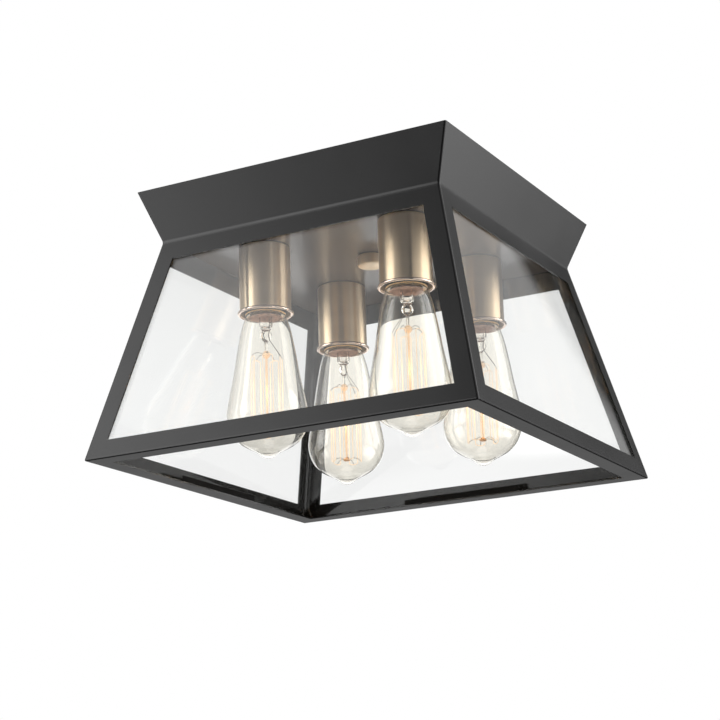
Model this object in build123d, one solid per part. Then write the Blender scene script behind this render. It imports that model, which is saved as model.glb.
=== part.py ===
from build123d import *
import os
from math import atan, cos, hypot, pi, sin, tan

# Lantern body, millimetres
base_side = 330.0
neck_side = 244.0
rim_side = 273.0
canopy_height = 40.5
overall_height = 219.0
sheet = 1.2
post_width = 16.0
top_rail_height = 16.5
bottom_rail_height = 15.2
flange_width = 16.0

# Panes and what holds them
glass_thickness = 2.5
glass_gap = 0.2
glass_top_gap = 1.0
glass_corner_gap = 0.3
glass_clip_across = 6.5
glass_clip_up = 10.0
keeper_length = 108.0
keeper_height = 4.6
keeper_sheet = 0.8
top_clip_width = 14.0
top_clip_drop = 8.0
top_clip_foot = 9.0
top_clip_sheet = 0.8

# Ceiling fixing
bar_end = 2.55
bar_width = 22.0
bar_sheet = 2.0
box_screw_spacing = 88.9
box_slot_length = 14.0
box_slot_width = 4.8
pipe_diameter = 9.9
pipe_bore = 7.2
thread_gap = 0.05
lock_nut_flats = 14.0
lock_nut_height = 3.0
ground_screw_reach = 30.0
ground_screw_diameter = 4.0
ground_head_diameter = 8.0
ground_head_height = 2.6
plate_hole_gap = 0.3

# Finial
finial_diameter = 22.0
finial_height = 8.5
finial_round = 0.8
finial_roof = 1.6
finial_bore_gap = 0.15
finial_tip_gap = 0.3
washer_diameter = 17.0
washer_height = 0.8

# Lampholders
socket_spacing = 126.0
cup_diameter = 41.0
cup_height = 56.0
cup_wall = 0.8
cup_round = 1.5
lip_overhang = 1.8
body_diameter = 33.0
body_recess = 1.5
pipe_seat_depth = 12.0
lamp_depth = 28.5
shell_bore = 27.0
shell_wall = 0.5
shell_recess = 0.8
shell_length = 24.0
shell_gap = 0.2
socket_contact_diameter = 8.0
socket_contact_height = 2.1
socket_nut_flats = 15.0
socket_nut_height = 4.0
pipe_overshoot = 1.5

# Lamps: outlines are depth below the start of the glass, then radius
lamp_count = 4
glass_start_drop = 1.5
cap_diameter = 26.2
cap_wall = 0.4
cap_length = 22.0
cap_overlap = 2.0
cap_glass_gap = 0.3
contact_height = 3.6
contact_button_diameter = 9.2
contact_button_height = 1.0
contact_edge = 0.6
neck_top = 10.0
neck_shoulder_gap = 0.3
bulb_wall = 0.9
bulb_upper = [(0.0, 16.4), (15.0, 20.6), (45.0, 25.8), (68.0, 30.2), (80.0, 32.0)]
bulb_lower = [(80.0, 32.0), (90.0, 30.3), (98.0, 26.3), (104.5, 18.5), (108.5, 10.5), (111.5, 5.8), (114.4, 0.0)]
stem_flare = [(-8.5, 11.0), (-7.2, 11.0), (-6.6, 9.0), (-1.0, 5.2)]
stem_tube = [(8.5, 5.4), (11.5, 3.0), (15.0, 4.1), (18.5, 3.4), (20.5, 1.6)]
bead_depth = 31.0
bead_radius = 3.1
rod_radius = 0.9
hub_depth = 92.6
hub_radius = 3.6
hub_rise = 2.6
strand_count = 10
cage_radius = 12.5
strand_top = 33.5
strand_bottom = 95.0
wire_radius = 0.3
joint_radius = 0.36
hook_gap = 0.2

# Wiring inside the canopy
lead_diameter = 2.2
lead_offset = 1.6
lead_slack = 6.0
lead_rise_radius = 16.0
lead_slack_radius = 80.0
hot_lead_level = -7.5
neutral_lead_level = -13.0
wire_nut_reach = 30.0
wire_nut_length = 16.5
wire_nut_mouth = 13.0
wire_nut_tip = 8.4
wire_nut_bore = 8.8
wire_nut_depth = 9.0
wire_nut_lift = 0.3
nut_lead_offset = 1.45

# Levels and angles that follow from the sizes above
quarter = 90.0
sides = range(lamp_count)
z_neck = -canopy_height
z_base = -overall_height
cage_height = overall_height - canopy_height
lean = atan((base_side - neck_side) / 2 / cage_height)
flare = atan((rim_side - neck_side) / 2 / canopy_height)
slope = cage_height / cos(lean)
glass_depth = sheet + glass_gap + glass_thickness
z_plate = z_neck + sheet
reach = base_side
cup_rim = z_neck - cup_height
z_lamp = cup_rim - glass_start_drop
pipe_radius = pipe_diameter / 2


def frustum(z_low, half_low, z_high, half_high):
    outline = Polyline(
        (-half_low, z_low), (half_low, z_low), (half_high, z_high), (-half_high, z_high), close=True
    )
    slab = extrude(Plane.XZ * make_face(outline), amount=reach, both=True)
    return slab & (Rot(0, 0, quarter) * slab)


def level_band(z_low, z_high):
    middle = (z_low + z_high) / 2
    return Pos(0, 0, middle) * Box(2 * reach, 2 * reach, z_high - z_low)


def turned(points):
    return revolve(Plane.XZ * make_face(Polyline(*points, close=True)), Axis.Z)


def rod(start, end, radius):
    direction = Vector(*end) - Vector(*start)
    plane = Plane(origin=start, z_dir=direction)
    return extrude(plane * Circle(radius), amount=direction.length)


def hex_nut(flats, height, bore, z_low):
    blank = extrude(Pos(0, 0, z_low) * RegularPolygon(flats / 2, 6, major_radius=False), amount=height)
    return blank - Pos(0, 0, z_low + height / 2) * Cylinder(bore, 2 * height)


def solid_of(shape):
    solids = shape.solids()
    return solids[0] if len(solids) == 1 else Compound(children=list(solids))


def save(node, shape):
    export_step(shape, f"parts/{node}.step")


def save_group(node, shapes):
    solids = [solid for shape in shapes for solid in shape.solids()]
    export_step(Compound(children=solids), f"parts/{node}.step")


os.makedirs("parts", exist_ok=True)

# One sloped side, drawn flat in its own plane: across, then up the slope
inward = (0, cos(lean), -sin(lean))
side_plane = Plane(
    origin=(0, -base_side / 2, z_base), x_dir=(1, 0, 0), z_dir=(0, -cos(lean), sin(lean))
)


def half_at(up):
    return base_side / 2 - up * sin(lean)


def side_panel(points, depth, thickness):
    face = side_plane.offset(-depth) * make_face(Polyline(*points, close=True))
    return extrude(face, amount=thickness, dir=inward)


# Canopy pan: flared walls on a flat plate
def pan_inside(z):
    return neck_side / 2 + (z - z_neck) * tan(flare) - sheet / cos(flare)


pan = frustum(z_neck, neck_side / 2, 0, rim_side / 2)
pan -= frustum(z_plate, pan_inside(z_plate), sheet, pan_inside(sheet))
plate_hole = Cylinder(pipe_radius + plate_hole_gap, 2 * canopy_height)
half_spacing = socket_spacing / 2
socket_places = [(half_spacing * a, half_spacing * b) for a, b in ((1, -1), (1, 1), (-1, 1), (-1, -1))]
pan -= plate_hole.moved(Location((0, 0, z_neck - canopy_height + 2 * sheet)))
for x, y in socket_places:
    pan -= plate_hole.moved(Location((x, y, z_neck - canopy_height + 2 * sheet)))
save("canopy_pan", solid_of(pan))

# Cage: corner posts, top rails, bottom rails
cage_band = level_band(z_base, z_neck)
post_band = level_band(z_base + sheet, z_neck)
low = -2 * sheet
high = slope + 2 * sheet
right_leg = side_panel(
    [
        (half_at(low) - post_width, low),
        (half_at(low), low),
        (half_at(high), high),
        (half_at(high) - post_width, high),
    ],
    0,
    sheet,
)
left_leg = side_panel(
    [
        (-half_at(low), low),
        (post_width - half_at(low), low),
        (post_width - half_at(high), high),
        (-half_at(high), high),
    ],
    0,
    sheet,
)
post = (right_leg + Rot(0, 0, quarter) * left_leg) & post_band


def rail_strip(v_low, v_high):
    across_low = half_at(v_low) - post_width
    across_high = half_at(v_high) - post_width
    points = [(-across_low, v_low), (across_low, v_low), (across_high, v_high), (-across_high, v_high)]
    return side_panel(points, 0, sheet)


top_rail = rail_strip(slope - top_rail_height, high) & cage_band
half_base = base_side / 2
flange_inner = half_base - flange_width
flange_face = make_face(
    Polyline(
        (-half_base, -half_base),
        (half_base, -half_base),
        (flange_inner, -flange_inner),
        (-flange_inner, -flange_inner),
        close=True,
    )
)
flange = extrude(Pos(0, 0, z_base) * flange_face, amount=sheet)
flange = flange & frustum(z_base, half_base, z_neck, neck_side / 2)
bottom_rail = (rail_strip(low, bottom_rail_height) & cage_band) + flange

# Panes stand on the flange with clipped lower corners
pane_low = (sheet + glass_depth * sin(lean) + glass_gap) / cos(lean)
pane_high = slope + (sheet + glass_gap) * tan(lean) - glass_top_gap / cos(lean)
pane_edge = glass_depth / cos(lean) + glass_corner_gap


def pane_half(up):
    return half_at(up) - pane_edge


pane_clip = pane_low + glass_clip_up
pane = side_panel(
    [
        (glass_clip_across - pane_half(pane_low), pane_low),
        (pane_half(pane_low) - glass_clip_across, pane_low),
        (pane_half(pane_clip), pane_clip),
        (pane_half(pane_high), pane_high),
        (-pane_half(pane_high), pane_high),
        (-pane_half(pane_clip), pane_clip),
    ],
    sheet + glass_gap,
    glass_thickness,
)

# Keeper channel between pane and flange edge, and the clip behind the pane's top
keeper_z = z_base + sheet
keeper_top = keeper_z + keeper_height
keeper_in = -flange_inner
pane_inside = base_side / 2 - tan(lean) * (sheet + keeper_height) - glass_depth / cos(lean)
keeper_out = glass_gap - pane_inside
keeper_face = make_face(
    Polyline(
        (keeper_out, keeper_z),
        (keeper_in, keeper_z),
        (keeper_in, keeper_top),
        (keeper_in - keeper_sheet, keeper_top),
        (keeper_in - keeper_sheet, keeper_z + keeper_sheet),
        (keeper_out + keeper_sheet, keeper_z + keeper_sheet),
        (keeper_out + keeper_sheet, keeper_top),
        (keeper_out, keeper_top),
        close=True,
    )
)
keeper = extrude(Plane.YZ * keeper_face, amount=keeper_length / 2, both=True)
clip_out = glass_depth / cos(lean) + glass_gap - neck_side / 2
clip_face = make_face(
    Polyline(
        (clip_out, z_neck),
        (clip_out, z_neck - top_clip_drop),
        (clip_out + top_clip_sheet, z_neck - top_clip_drop),
        (clip_out + top_clip_sheet, z_neck - top_clip_sheet),
        (clip_out + top_clip_foot, z_neck - top_clip_sheet),
        (clip_out + top_clip_foot, z_neck),
        close=True,
    )
)
top_clip = extrude(Plane.YZ * clip_face, amount=top_clip_width / 2, both=True)
for side in sides:
    turn = Rot(0, 0, quarter * side)
    save(f"corner_post_{side + 1}", solid_of(turn * post))
    save(f"top_rail_{side + 1}", solid_of(turn * top_rail))
    save(f"bottom_rail_{side + 1}", solid_of(turn * bottom_rail))
    save(f"glass_panel_{side + 1}", solid_of(turn * pane))
save_group("glass_keepers", [Rot(0, 0, quarter * side) * keeper for side in sides])
save_group("glass_top_clips", [Rot(0, 0, quarter * side) * top_clip for side in sides])

# Crossbar with two slots for the ceiling box screws
bar_length = box_screw_spacing + box_slot_length + 2 * bar_end
bar = Pos(0, 0, -bar_sheet / 2) * Box(bar_length, bar_width, bar_sheet)
bar = fillet(bar.edges().filter_by(Axis.Z), bar_width / 4)
slot = SlotOverall(box_slot_length, box_slot_width)
slot_cut = extrude(slot, amount=bar_sheet, both=True)
for way in (-1, 1):
    bar -= Pos(way * box_screw_spacing / 2, 0, 0) * slot_cut
bar -= Cylinder(pipe_radius + thread_gap, 4 * bar_sheet)
ground_radius = ground_screw_diameter / 2
bar -= Pos(ground_screw_reach, 0, 0) * Cylinder(ground_radius + thread_gap, 4 * bar_sheet)
save("mounting_crossbar", solid_of(bar))
ground_screw = Pos(ground_screw_reach, 0, -bar_sheet / 2) * Cylinder(ground_radius, bar_sheet)
ground_head = Cylinder(ground_head_diameter / 2, ground_head_height)
ground_screw += Pos(ground_screw_reach, 0, -bar_sheet - ground_head_height / 2) * ground_head
save("ground_screw", solid_of(ground_screw))

# Centre pipe with its lock nut, washer and finial
finial_top = z_neck - washer_height
finial_base = finial_top - finial_height
bore_end = finial_base + finial_roof
pipe_tip = bore_end + finial_tip_gap
pipe_bore_radius = pipe_bore / 2
pipe = turned([(pipe_bore_radius, pipe_tip), (pipe_radius, pipe_tip), (pipe_radius, 0), (pipe_bore_radius, 0)])
save("centre_nipple", solid_of(pipe))
lock_nut = hex_nut(lock_nut_flats, lock_nut_height, pipe_radius + thread_gap, -bar_sheet - lock_nut_height)
save("nipple_lock_nut", solid_of(lock_nut))
washer_bore = pipe_radius + finial_bore_gap
washer = turned(
    [
        (washer_bore, finial_top),
        (washer_diameter / 2, finial_top),
        (washer_diameter / 2, z_neck),
        (washer_bore, z_neck),
    ]
)
save("finial_washer", solid_of(washer))
finial_middle = (finial_top + finial_base) / 2
finial = Pos(0, 0, finial_middle) * Cylinder(finial_diameter / 2, finial_height)
finial = fillet(finial.edges().sort_by(Axis.Z)[0], finial_round)
finial -= Pos(0, 0, bore_end + finial_height) * Cylinder(washer_bore, 2 * finial_height)
save("finial", solid_of(finial))

# Lampholder pieces, drawn on the centre line and moved to their places
cup_radius = cup_diameter / 2
cup_bore = pipe_radius + plate_hole_gap
cup = turned(
    [
        (cup_bore, z_neck),
        (cup_radius, z_neck),
        (cup_radius, cup_rim),
        (cup_radius - cup_wall, cup_rim),
        (cup_radius - cup_wall, z_neck - cup_wall),
        (cup_bore, z_neck - cup_wall),
    ]
)
cup_top_edge = cup.edges().filter_by(GeomType.CIRCLE).group_by(Axis.Z)[-1].sort_by(SortBy.RADIUS)[-1]
cup = fillet(cup_top_edge, cup_round)
lip_radius = (cup_wall + lip_overhang) / 2
lip = Torus(cup_radius - cup_wall + lip_radius, lip_radius)
cup += Pos(0, 0, cup_rim + lip_radius) * lip

body_radius = body_diameter / 2
body_top = z_neck - cup_wall
body_low = cup_rim + body_recess
seat = body_top - pipe_seat_depth
ceiling = cup_rim + lamp_depth
shell_outer = shell_bore / 2 + shell_wall
cavity = shell_outer + shell_gap
pipe_hole = pipe_radius + thread_gap
body = turned(
    [
        (0, ceiling),
        (cavity, ceiling),
        (cavity, body_low),
        (body_radius, body_low),
        (body_radius, body_top),
        (pipe_hole, body_top),
        (pipe_hole, seat),
        (0, seat),
    ]
)
shell_low = cup_rim + shell_recess
shell_top = shell_low + shell_length
shell = turned(
    [(shell_bore / 2, shell_low), (shell_outer, shell_low), (shell_outer, shell_top), (shell_bore / 2, shell_top)]
)
contact_low = ceiling - socket_contact_height
socket_contact_radius = socket_contact_diameter / 2
socket_contact = turned(
    [
        (0, contact_low),
        (socket_contact_radius / 2, contact_low),
        (socket_contact_radius, contact_low + socket_contact_height / 2),
        (socket_contact_radius, ceiling),
        (0, ceiling),
    ]
)
nut_top = z_plate + socket_nut_height
pipe_top = nut_top + pipe_overshoot
socket_pipe = turned(
    [
        (pipe_bore_radius, seat),
        (pipe_radius, seat),
        (pipe_radius, pipe_top),
        (pipe_bore_radius, pipe_top),
    ]
)
socket_nut = hex_nut(socket_nut_flats, socket_nut_height, pipe_hole, z_plate)

# Lamp pieces
cap_low = z_lamp + cap_overlap
cap_top = cap_low + cap_length
cap_radius = cap_diameter / 2
cap_inner = cap_radius - cap_wall
cap = turned([(cap_inner, cap_low), (cap_radius, cap_low), (cap_radius, cap_top), (cap_inner, cap_top)])
contact_top = cap_top + contact_height
button = contact_button_diameter / 2
button_low = contact_top - contact_button_height
contact = turned(
    [
        (0, cap_top),
        (cap_radius - contact_edge, cap_top),
        (cap_radius - contact_edge, cap_top + contact_edge),
        (button + contact_edge, button_low),
        (button, button_low),
        (button, contact_top),
        (0, contact_top),
    ]
)


def at_depth(points):
    return [(radius, z_lamp - depth) for depth, radius in points]


def pulled_in(points, wall):
    moved = []
    for index, (radius, z) in enumerate(points):
        before = points[max(index - 1, 0)]
        after = points[min(index + 1, len(points) - 1)]
        run = (after[0] - before[0], after[1] - before[1])
        length = hypot(*run)
        if radius == 0:
            moved.append((0, z + wall))
        else:
            moved.append((radius + wall * run[1] / length, z - wall * run[0] / length))
    return moved


neck_radius = cap_inner - cap_glass_gap
upper = at_depth(bulb_upper)
lower = at_depth(bulb_lower)
upper_start = (upper[1][0] - upper[0][0], upper[1][1] - upper[0][1])
neck_z = z_lamp + neck_top
shoulder_z = cap_low - neck_shoulder_gap
down = (0, -1)
to_axis = (-1, 0)


def bulb_outline(wall):
    side = pulled_in(upper, wall)
    dome = pulled_in(lower, wall)
    side[-1] = (upper[-1][0] - wall, upper[-1][1])
    dome[0] = side[-1]
    neck = Polyline((neck_radius - wall, neck_z), (neck_radius - wall, shoulder_z), side[0])
    return neck, Spline(*side, tangents=(upper_start, down)), Spline(*dome, tangents=(down, to_axis))


def bulb_blank(wall):
    neck, side, dome = bulb_outline(wall)
    tip = dome @ 1
    axis_line = Line((0, tip.Y), (0, neck_z))
    top_line = Line((0, neck_z), (neck_radius - wall, neck_z))
    face = make_face([neck, side, dome, axis_line, top_line])
    return revolve(Plane.XZ * face, Axis.Z)


bulb_glass = bulb_blank(0) - bulb_blank(bulb_wall)

stem_points = at_depth(stem_flare + stem_tube)
bead_z = z_lamp - bead_depth
hub_z = z_lamp - hub_depth
neck_rod = stem_points[-1][0]
stem = turned([(0, stem_points[0][1])] + stem_points + [(neck_rod, bead_z), (0, bead_z)])
stem += Pos(0, 0, bead_z) * Sphere(bead_radius)
stem += rod((0, 0, bead_z), (0, 0, hub_z), rod_radius)
stem += turned([(0, hub_z), (hub_radius, hub_z), (rod_radius, hub_z + hub_rise), (0, hub_z + hub_rise)])

strand_high = z_lamp - strand_top
strand_low = z_lamp - strand_bottom


def around(index, radius, z):
    angle = 2 * pi * index / strand_count
    return (radius * cos(angle), radius * sin(angle), z)


filament_bits = []
for index in range(strand_count):
    high_end = around(index, cage_radius, strand_high)
    low_end = around(index, cage_radius, strand_low)
    filament_bits.append(rod(low_end, high_end, wire_radius))
    filament_bits.append(Pos(*high_end) * Sphere(joint_radius))
    filament_bits.append(Pos(*low_end) * Sphere(joint_radius))
    filament_bits.append(rod(around(index, bead_radius + hook_gap, bead_z), high_end, wire_radius))
    filament_bits.append(rod(around(index, hub_radius + hook_gap, hub_z), low_end, wire_radius))
    link_z = strand_high if index % 2 else strand_low
    if index < strand_count - 1:
        start = around(index, cage_radius, link_z)
        filament_bits.append(rod(start, around(index + 1, cage_radius, link_z), wire_radius))
filament = filament_bits[0].fuse(*filament_bits[1:])

# Leads rise through the pipes, cross the canopy and drop into the wire nuts
nut_tip_z = z_plate + wire_nut_lift
nut_mouth_z = nut_tip_z + wire_nut_length
nut_floor = nut_mouth_z - wire_nut_depth
wire_nut = turned(
    [
        (0, nut_tip_z),
        (wire_nut_tip / 2, nut_tip_z),
        (wire_nut_mouth / 2, nut_mouth_z),
        (wire_nut_bore / 2, nut_mouth_z),
        (wire_nut_bore / 2, nut_floor),
        (0, nut_floor),
    ]
)
lead_radius = lead_diameter / 2


def lead(place, kind):
    x = place[0]
    y = place[1] + kind * lead_offset
    level = hot_lead_level if kind > 0 else neutral_lead_level
    end_x = nut_lead_offset * (1 if x > 0 else -1)
    end_y = kind * wire_nut_reach + nut_lead_offset * (1 if place[1] > kind * wire_nut_reach else -1)
    run = (end_x - x, end_y - y)
    length = hypot(*run)
    bend = lead_slack * (1 if place[1] > 0 else -1) * kind
    middle = ((x + end_x) / 2 - bend * run[1] / length, (y + end_y) / 2 + bend * run[0] / length)
    drop_radius = level - nut_mouth_z
    radii = (lead_rise_radius, lead_slack_radius, drop_radius)
    route = [(x, y, seat), (x, y, level), (*middle, level), (end_x, end_y, level), (end_x, end_y, nut_floor)]
    path = FilletPolyline(*route, radius=radii)
    tube = sweep(Plane(origin=(x, y, seat), z_dir=(0, 0, 1)) * Circle(lead_radius), path=path)
    want = pi * lead_radius**2 * path.length
    print("lead radii", radii, "length", round(path.length, 1), "volume ratio", round(tube.volume / want, 4))
    return tube


hot_leads = [lead(place, 1) for place in socket_places]
neutral_leads = [lead(place, -1) for place in socket_places]
save_group("hot_leads", hot_leads)
save_group("neutral_leads", neutral_leads)
save("hot_wire_nut", solid_of(Pos(0, wire_nut_reach, 0) * wire_nut))
save("neutral_wire_nut", solid_of(Pos(0, -wire_nut_reach, 0) * wire_nut))

# Every lampholder and lamp in its place
for index, (x, y) in enumerate(socket_places):
    place = Pos(x, y, 0)
    number = index + 1
    save(f"socket_cup_{number}", solid_of(place * cup))
    save(f"bulb_glass_{number}", solid_of(place * bulb_glass))
    save(f"bulb_cap_{number}", solid_of(place * cap))
    save(f"bulb_contact_{number}", solid_of(place * contact))
    save(f"bulb_stem_{number}", solid_of(place * stem))
    save(f"bulb_filament_{number}", solid_of(place * filament))
placed = [Pos(x, y, 0) for x, y in socket_places]
save_group("socket_bodies", [place * body for place in placed])
save_group("socket_screw_shells", [place * shell for place in placed])
save_group("socket_contacts", [place * socket_contact for place in placed])
save_group("socket_nipples", [place * socket_pipe for place in placed])
save_group("socket_nipple_nuts", [place * socket_nut for place in placed])
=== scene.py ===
# %% [markdown]
# # Square lantern ceiling light
# A flared black canopy lies on the ceiling and carries a tapered cage with four clear panes, open below.
# Four brass cups hang from the canopy's plate, and a clear filament lamp screws into each one. The packed
# CAD model is loaded first and is never moved. Every piece made here lies in the same frame, in metres,
# takes the place of the CAD nodes that it names, and rides on one of the CAD bodies. The lesson goes from
# the large pieces to the small ones, and the finishes are mixed along the way.

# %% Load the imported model
import math
import bpy
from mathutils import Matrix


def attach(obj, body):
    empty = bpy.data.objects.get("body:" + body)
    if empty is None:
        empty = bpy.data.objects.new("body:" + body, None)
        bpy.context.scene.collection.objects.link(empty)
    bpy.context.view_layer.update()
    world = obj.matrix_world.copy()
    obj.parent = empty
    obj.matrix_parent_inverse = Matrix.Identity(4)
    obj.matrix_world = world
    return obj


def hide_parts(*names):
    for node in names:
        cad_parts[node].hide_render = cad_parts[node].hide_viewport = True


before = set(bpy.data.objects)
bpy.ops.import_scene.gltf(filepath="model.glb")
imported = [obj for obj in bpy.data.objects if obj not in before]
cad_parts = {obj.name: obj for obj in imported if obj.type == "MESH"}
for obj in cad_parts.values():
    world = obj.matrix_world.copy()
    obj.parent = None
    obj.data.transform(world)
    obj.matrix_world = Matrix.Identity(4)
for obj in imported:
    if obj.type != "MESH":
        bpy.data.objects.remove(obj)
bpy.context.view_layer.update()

# %% [markdown]
# ## Canopy walls and cage
# On the real light, canopy walls, posts and rails are sheet steel, bent and welded to one frame: flared
# walls above the neck, four sloped sides with a window each below it, and a flange folded in round the
# open bottom. Twelve strips would do too, but their corners would have to be mitred and would show seams.
# So one block is shaped: tapered as the sides are, its top pulled up and out to the rim, and both ends
# opened. Every corner closes by itself. An operator acts on what is selected, and a script has no window
# to click in, so faces, edges and points are picked by where they lie.


# %% Taking a piece
def put_down():
    if bpy.context.mode != "OBJECT":
        bpy.ops.object.mode_set(mode="OBJECT")
    bpy.ops.object.select_all(action="DESELECT")


def take(piece):
    put_down()
    piece.select_set(True)
    bpy.context.view_layer.objects.active = piece


put_down()
print("selected before the first piece:", len(bpy.context.selected_objects))

# %% Picking faces, edges and points
MM = 0.001
TOUCH = 0.001 * MM


def near(a, b):
    return abs(a - b) < TOUCH


def pick(piece, kind, test):
    bpy.ops.object.mode_set(mode="EDIT")
    bpy.ops.mesh.select_mode(type=kind)
    bpy.ops.mesh.select_all(action="DESELECT")
    bpy.ops.object.mode_set(mode="OBJECT")
    points = piece.data.vertices
    if kind == "VERT":
        for point in points:
            point.select = test(point.co)
    if kind == "EDGE":
        for edge in piece.data.edges:
            edge.select = test(points[edge.vertices[0]].co, points[edge.vertices[1]].co)
    if kind == "FACE":
        for face in piece.data.polygons:
            face.select = test(face.center)
    bpy.ops.object.mode_set(mode="EDIT")


print("two places are one within", TOUCH, "metres")

# %% A tapered block with a flared top, open at both ends
BASE_SIDE = 330 * MM
NECK_SIDE = 244 * MM
RIM_SIDE = 273 * MM
Z_NECK = -40.5 * MM
Z_BASE = -219 * MM


def count_faces(piece):
    if bpy.context.mode != "OBJECT":
        bpy.ops.object.mode_set(mode="OBJECT")
    return len(piece.data.polygons)


bpy.ops.mesh.primitive_cube_add(size=1, location=(0, 0, (Z_NECK + Z_BASE) / 2),
                                scale=(BASE_SIDE, BASE_SIDE, Z_NECK - Z_BASE))
cage = bpy.context.object
cage.name = "cage"
bpy.ops.object.transform_apply(location=True, rotation=True, scale=True)
pick(cage, "FACE", lambda middle: near(middle.z, Z_NECK))
narrow = NECK_SIDE / BASE_SIDE
bpy.ops.transform.resize(value=(narrow, narrow, 1), center_override=(0, 0, Z_NECK))
bpy.ops.mesh.extrude_region_move(TRANSFORM_OT_translate={"value": (0, 0, -Z_NECK)})
wide = RIM_SIDE / NECK_SIDE
bpy.ops.transform.resize(value=(wide, wide, 1), center_override=(0, 0, 0))
bpy.ops.mesh.delete(type="ONLY_FACE")
pick(cage, "FACE", lambda middle: near(middle.z, Z_BASE))
bpy.ops.mesh.delete(type="ONLY_FACE")
print("open block", count_faces(cage), "faces")

# %% [markdown]
# Each side of the real cage is a window between two posts and two rails. Inset could open it, but inset
# leaves one width all round, while here the strips differ and the posts follow the sloped corners. So the
# sides are cut along planes, two level ones and one beside each post, and the middle face of each side is
# deleted.

# %% Windows
POST_WIDTH = 16 * MM
TOP_STRIP = 16.5 * MM
LOW_STRIP = 15.2 * MM
LEVEL_SLACK = 4 * MM
CENTRE_SLACK = 0.1 * MM
LEAN = (BASE_SIDE - NECK_SIDE) / 2 / (Z_NECK - Z_BASE)
SLOPE = math.hypot(1, LEAN)
WINDOW_TOP = Z_NECK - TOP_STRIP / SLOPE
WINDOW_LOW = Z_BASE + LOW_STRIP / SLOPE
post_edge = BASE_SIDE / 2 - POST_WIDTH


def cut_sides(place, normal):
    pick(cage, "VERT", lambda point: point.z < Z_NECK + TOUCH)
    bpy.ops.mesh.bisect(plane_co=place, plane_no=normal)


def in_window(middle):
    half_way = (WINDOW_TOP + WINDOW_LOW) / 2
    level = abs(middle.z - half_way) < LEVEL_SLACK
    return level and min(abs(middle.x), abs(middle.y)) < CENTRE_SLACK


for level in (WINDOW_TOP, WINDOW_LOW):
    cut_sides((0, 0, level), (0, 0, 1))
for way in (-1, 1):
    cut_sides((way * post_edge, 0, Z_BASE), (way, 0, LEAN))
    cut_sides((0, way * post_edge, Z_BASE), (0, way, LEAN))
pick(cage, "FACE", in_window)
bpy.ops.mesh.delete(type="FACE")
print("windows from", round(WINDOW_LOW, 4), "to", round(WINDOW_TOP, 4), "in", count_faces(cage), "faces")

# %% [markdown]
# Bent sheet has no sharp folds: each one is a narrow round that catches a line of light. Smooth shading
# alone would smear that light over the flat sides, so the folds are beveled as geometry, before the sheet
# gets its thickness. The flange is pulled out of the open bottom edge first, so that its fold is rounded
# with the others.

# %% Flange
FLANGE_WIDTH = 16 * MM
pick(cage, "EDGE", lambda a, b: near(a.z, Z_BASE) and near(b.z, Z_BASE))
bpy.ops.mesh.extrude_region_move(TRANSFORM_OT_translate={"value": (0, 0, 0)})
inner = 1 - 2 * FLANGE_WIDTH / BASE_SIDE
bpy.ops.transform.resize(value=(inner, inner, 1), center_override=(0, 0, Z_BASE))
print("with flange", count_faces(cage), "faces")

# %% Rounded folds
FOLD_RADIUS = 1.7 * MM
MERGE = 0.002 * MM


def clean(piece, smooth_to=35):
    take(piece)
    bpy.ops.object.mode_set(mode="EDIT")
    bpy.ops.mesh.select_all(action="SELECT")
    bpy.ops.mesh.remove_doubles(threshold=MERGE)
    bpy.ops.mesh.normals_make_consistent(inside=False)
    bpy.ops.object.mode_set(mode="OBJECT")
    bpy.ops.object.shade_smooth_by_angle(angle=math.radians(smooth_to))


def is_fold(a, b):
    corner = near(abs(a.x), abs(a.y)) and near(abs(b.x), abs(b.y)) and not near(a.z, b.z)
    neck = near(a.z, Z_NECK) and near(b.z, Z_NECK)
    low = near(a.z, Z_BASE) and near(b.z, Z_BASE)
    outside = BASE_SIDE / 2
    along_x = near(abs(a.x), outside) and near(a.x, b.x)
    along_y = near(abs(a.y), outside) and near(a.y, b.y)
    return corner or neck or (low and (along_x or along_y))


pick(cage, "EDGE", is_fold)
bpy.ops.mesh.bevel(offset=FOLD_RADIUS, segments=5, profile=0.5, affect="EDGES", clamp_overlap=False)
clean(cage, smooth_to=50)
print("folded skin", count_faces(cage), "faces")

# %% [markdown]
# The canopy and the cage are separate pieces of the CAD model, so the skin is parted just under the neck.
# An inner skin could be drawn by hand, but Solidify gives the sheet its thickness in one step, and
# inwards, so that the outside keeps its size. A small bevel breaks the cut edges, and weighted normals
# keep flat faces flat in the light.

# %% Parting and thickness
PARTING = Z_NECK - 2 * MM
SHEET = 1.2 * MM
EDGE_BREAK = 0.15 * MM


def apply_modifier(piece, kind, **settings):
    take(piece)
    modifier = piece.modifiers.new(kind.lower(), kind)
    for key, value in settings.items():
        setattr(modifier, key, value)
    bpy.ops.object.modifier_apply(modifier=modifier.name)


pick(cage, "VERT", lambda point: True)
bpy.ops.mesh.bisect(plane_co=(0, 0, PARTING), plane_no=(0, 0, 1))
pick(cage, "FACE", lambda middle: middle.z > PARTING)
bpy.ops.mesh.separate(type="SELECTED")
bpy.ops.object.mode_set(mode="OBJECT")
walls = [piece for piece in bpy.context.selected_objects if piece != cage][0]
for piece in (cage, walls):
    apply_modifier(piece, "SOLIDIFY", thickness=SHEET, offset=-1, use_even_offset=True)
    apply_modifier(piece, "BEVEL", width=EDGE_BREAK, segments=2, limit_method="ANGLE",
                   angle_limit=math.radians(60))
    clean(piece, smooth_to=40)
    apply_modifier(piece, "WEIGHTED_NORMAL", mode="FACE_AREA", weight=100, keep_sharp=True)
print("cage", count_faces(cage), "faces, walls", count_faces(walls), "faces")

# %% [markdown]
# ## Black paint
# The real frame is painted almost black, with a soft sheen and the faint unevenness of sprayed paint. One
# flat colour would look like plastic, and a picture of paint would fit one piece only. Two close colours,
# a range of roughness and fine bumps are grown from noise in the object's own coordinates instead. The
# paint then stays in place on a piece that moves, and the same few steps mix most of the other finishes.


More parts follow.
